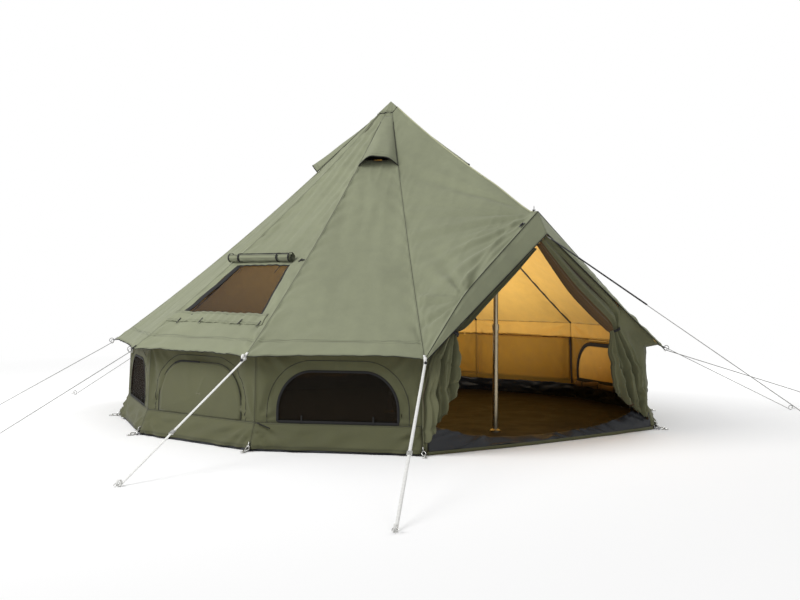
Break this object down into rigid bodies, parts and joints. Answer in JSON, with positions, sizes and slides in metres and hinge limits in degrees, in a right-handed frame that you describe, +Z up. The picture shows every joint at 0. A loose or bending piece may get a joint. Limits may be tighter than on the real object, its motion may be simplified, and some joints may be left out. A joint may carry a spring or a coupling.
{
  "type": "bell tent",
  "caption": "Twelve-sided canvas bell tent with a porch ridge, cone roof with hooded vents, mesh windows, sewn-in tub floor, two poles and guy lines.",
  "frame": {"origin": "middle of the floor's underside, below the centre pole, where the tent stands on the ground", "axes": "+Z up along the centre pole; -Y through the door; +X to the right of the door as seen by someone who faces it from outside"},
  "size_m": [7.4344, 8.9446, 2.9563],
  "materials": {
    "roof_canvas": "matt woven canvas, faded olive outside",
    "wall_canvas": "matt woven canvas, dark olive",
    "roof_mesh": "fine net over an amber lining",
    "black_mesh": "fine black insect net",
    "flue_cloth": "heat-proof coated glass cloth",
    "floor_cloth": "coated floor sheet, brown",
    "tub_cloth": "coated sheet, black",
    "pole_steel": "galvanised tube",
    "frame_steel": "black powder coat",
    "slider_steel": "satin steel",
    "webbing": "flat white webbing",
    "cord": "twisted grey cord"
  },
  "bodies": {
    "shelter": {"apex_cap": "roof_canvas", "porch_gore_left": "roof_canvas", "porch_gore_right": "roof_canvas", "roof_gore_left_1": "roof_canvas", "roof_gore_left_2": "roof_canvas", "roof_gore_left_3": "roof_canvas", "roof_gore_left_4": "roof_canvas", "roof_gore_right_1": "roof_canvas", "roof_gore_right_2": "roof_canvas", "roof_gore_right_3": "roof_canvas", "roof_gore_right_4": "roof_canvas", "roof_gore_rear": "roof_canvas", "vent_hood_front_left": "roof_canvas", "vent_hood_front_right": "roof_canvas", "vent_hood_rear_left": "roof_canvas", "vent_hood_rear_right": "roof_canvas", "roof_window_mesh": "roof_mesh", "roof_window_roll": "roof_canvas", "wall_panel_left_1": "wall_canvas", "wall_panel_left_2": "wall_canvas", "wall_panel_left_3": "wall_canvas", "wall_panel_right_1": "wall_canvas", "wall_panel_right_2": "wall_canvas", "wall_panel_right_3": "wall_canvas", "wall_panel_rear_left": "wall_canvas", "wall_panel_rear_right": "wall_canvas", "window_mesh_left_1": "black_mesh", "window_mesh_left_2": "black_mesh", "window_mesh_left_3": "black_mesh", "window_mesh_right_1": "black_mesh", "window_mesh_right_2": "black_mesh", "window_mesh_right_3": "black_mesh", "flue_patch": "flue_cloth", "groundsheet_floor": "floor_cloth", "groundsheet_tub_wall": "tub_cloth", "door_sill": "tub_cloth", "door_flap_left": "wall_canvas", "door_flap_right": "wall_canvas", "door_frame": "frame_steel", "centre_pole_lower": "pole_steel", "front_pole_lower": "pole_steel", "guy_left_1": "webbing", "guy_left_2": "webbing", "guy_left_3": "cord", "guy_left_4": "cord", "guy_left_5": "cord", "guy_right_1": "cord", "guy_right_2": "cord", "guy_right_3": "cord", "guy_right_4": "cord", "guy_right_5": "cord", "guy_rear": "cord", "guy_peak": "cord"},
    "centre_pole_top": {"centre_pole_upper": "pole_steel"},
    "front_pole_top": {"front_pole_upper": "pole_steel"},
    "flue_cover": {"flue_flap": "roof_canvas"},
    "storm_flap": {"window_flap_left_2": "wall_canvas"},
    "slider_1": {"guy_slider_left_1": "slider_steel"},
    "slider_2": {"guy_slider_left_2": "slider_steel"}
  },
  "joints": [
    {"name": "centre_pole_slide", "type": "slide", "parent": "shelter", "child": "centre_pole_top", "axis": [0, 0, 1], "range_m": [-0.6, 0]},
    {"name": "front_pole_slide", "type": "slide", "parent": "shelter", "child": "front_pole_top", "axis": [0, 0, 1], "range_m": [-0.28, 0]},
    {"name": "flue_cover_hinge", "type": "hinge", "parent": "shelter", "child": "flue_cover", "pos_m": [1.1904, 0.319, 1.7547], "axis": [0.2588, -0.9659, 0], "range_deg": [0, 150]},
    {"name": "storm_flap_hinge", "type": "hinge", "parent": "shelter", "child": "storm_flap", "pos_m": [-2.27739, -0.61023, 0.20545], "axis": [0.2588, -0.9659, 0], "range_deg": [0, 115]},
    {"name": "slider_1_slide", "type": "slide", "parent": "shelter", "child": "slider_1", "axis": [-0.6302, -0.7204, -0.2896], "range_m": [-1.35, 0.8]},
    {"name": "slider_2_slide", "type": "slide", "parent": "shelter", "child": "slider_2", "axis": [-0.7803, -0.4505, -0.4338], "range_m": [-0.88, 0.5]}
  ]
}
